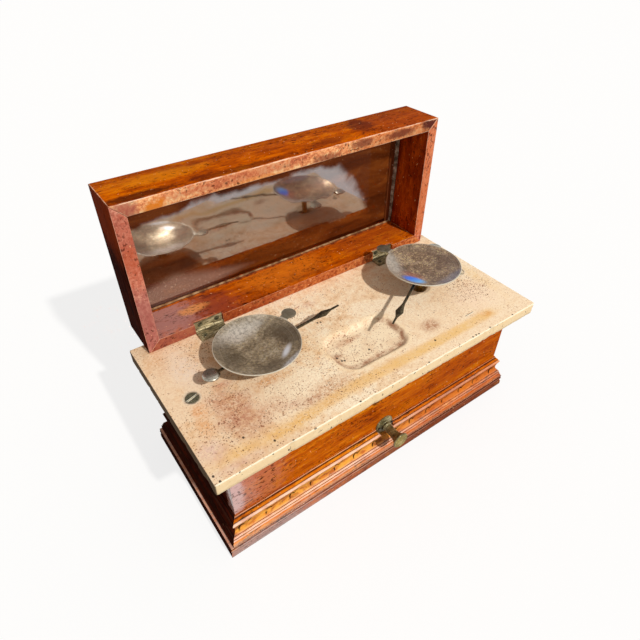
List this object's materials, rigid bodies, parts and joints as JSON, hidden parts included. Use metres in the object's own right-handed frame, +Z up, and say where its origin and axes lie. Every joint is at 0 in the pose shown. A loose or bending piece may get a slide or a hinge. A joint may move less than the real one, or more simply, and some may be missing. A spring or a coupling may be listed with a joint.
{
  "type": "apothecary scale",
  "caption": "Dispensary box scale: marble top on a moulded wooden case, hinged glazed lid, two round pans on swivelling pointers, and a hidden beam with an arrest knob.",
  "frame": {"origin": "centre of the case's underside, on the table", "axes": "+X to the right along the case, +Y to the back where the lid is hinged, +Z up"},
  "size_m": [0.38, 0.2225, 0.2817],
  "materials": {
    "mahogany": "aged waxed polish, rubbed and flecked",
    "marble": "honed cream marble with ochre and brown stains",
    "glass": "old flat glass",
    "bead_wood": "pale bead and putty line",
    "screw_steel": "worn, darkened",
    "hinge_brass": "dull olive tarnish",
    "spider_brass": "dark antique tarnish, worn at the edges",
    "pan_metal": "grey-brown mottled tarnish, bright rim",
    "knob_brass": "dark antique tarnish",
    "works_brass": "dull",
    "works_steel": "dull",
    "agate": "polished agate"
  },
  "bodies": {
    "case": {"base_board": "mahogany", "board_front": "mahogany", "board_back": "mahogany", "board_left": "mahogany", "board_right": "mahogany", "moulding_front": "mahogany", "moulding_back": "mahogany", "moulding_left": "mahogany", "moulding_right": "mahogany", "marble_top": "marble", "marble_screws": "screw_steel", "hinge_leaf_lower_left": "hinge_brass", "hinge_leaf_lower_right": "hinge_brass", "hinge_pins": "hinge_brass", "hinge_screws_marble": "screw_steel", "pedestal": "works_brass", "fulcrum_bearings": "agate", "pedestal_screws": "screw_steel", "stay_pin": "works_steel", "stop_blocks": "works_brass", "rosette": "knob_brass", "rosette_screws": "screw_steel", "shaft_bracket": "works_brass", "guide_pins": "works_steel"},
    "lid": {"lid_rail_front": "mahogany", "lid_rail_back": "mahogany", "lid_rail_left": "mahogany", "lid_rail_right": "mahogany", "lid_glass": "glass", "bead_front": "bead_wood", "bead_back": "bead_wood", "bead_left": "bead_wood", "bead_right": "bead_wood", "hinge_leaf_upper_left": "hinge_brass", "hinge_leaf_upper_right": "hinge_brass", "hinge_screws_lid": "screw_steel"},
    "beam": {"beam": "works_brass", "beam_knives": "works_steel", "poise_stud": "works_steel", "poise_nut": "works_brass"},
    "stay": {"stay": "works_steel"},
    "hanger_left": {"stirrup_left": "works_brass", "post_left": "spider_brass", "drop_bar_left": "works_brass", "stay_end_pin_left": "works_steel"},
    "hanger_right": {"stirrup_right": "works_brass", "post_right": "spider_brass", "drop_bar_right": "works_brass", "stay_end_pin_right": "works_steel"},
    "spider_left": {"spider_left": "spider_brass"},
    "spider_right": {"spider_right": "spider_brass"},
    "pan_left": {"pan_left": "pan_metal"},
    "pan_right": {"pan_right": "pan_metal"},
    "arrest_knob": {"knob": "knob_brass", "shaft": "works_steel", "cam": "works_brass"},
    "lifter": {"lifter": "works_steel"}
  },
  "joints": [
    {"name": "lid_hinge", "type": "hinge", "parent": "case", "child": "lid", "pos_m": [0, 0.074, 0.13205], "axis": [1, 0, 0], "range_deg": [0, 90.75]},
    {"name": "beam_rock", "type": "hinge", "parent": "case", "child": "beam", "pos_m": [0.00585, 0.0042, 0.084], "axis": [0, 1, 0], "range_deg": [0, 3.4]},
    {"name": "hanger_left_pivot", "type": "hinge", "parent": "beam", "child": "hanger_left", "pos_m": [-0.09731, 0.0042, 0.08094], "axis": [0, 1, 0], "range_deg": [-3.4, 0]},
    {"name": "hanger_right_pivot", "type": "hinge", "parent": "beam", "child": "hanger_right", "pos_m": [0.10901, 0.0042, 0.08706], "axis": [0, 1, 0], "range_deg": [-3.4, 0]},
    {"name": "stay_rock", "type": "hinge", "parent": "case", "child": "stay", "pos_m": [0.00585, 0.0042, 0.032], "axis": [0, 1, 0], "range_deg": [0, 3.4]},
    {"name": "spider_left_turn", "type": "hinge", "parent": "hanger_left", "child": "spider_left", "pos_m": [-0.09731, 0.0042, 0.14664], "axis": [0, 0, 1], "range_deg": [-39, 28]},
    {"name": "spider_right_turn", "type": "hinge", "parent": "hanger_right", "child": "spider_right", "pos_m": [0.10901, 0.0042, 0.15276], "axis": [0, 0, 1], "range_deg": [-63, 4]},
    {"name": "pan_left_turn", "type": "hinge", "parent": "spider_left", "child": "pan_left", "pos_m": [-0.09731, 0.0042, 0.14664], "axis": [0, 0, 1], "continuous": true},
    {"name": "pan_right_turn", "type": "hinge", "parent": "spider_right", "child": "pan_right", "pos_m": [0.10901, 0.0042, 0.15276], "axis": [0, 0, 1], "range_deg": [-20, 220]},
    {"name": "knob_turn", "type": "hinge", "parent": "case", "child": "arrest_knob", "pos_m": [0, -0.0715, 0.0464], "axis": [0, 1, 0], "range_deg": [0, 90]},
    {"name": "lifter_rise", "type": "slide", "parent": "case", "child": "lifter", "axis": [0, 0, 1], "range_m": [0, 0.003]}
  ],
  "couplings": [
    {"joint": "hanger_left_pivot", "follows": "beam_rock", "ratio": -1},
    {"joint": "hanger_right_pivot", "follows": "beam_rock", "ratio": -1},
    {"joint": "stay_rock", "follows": "beam_rock", "ratio": 1},
    {"joint": "knob_turn", "follows": "lifter_rise", "rad_per_m": 523.6}
  ]
}
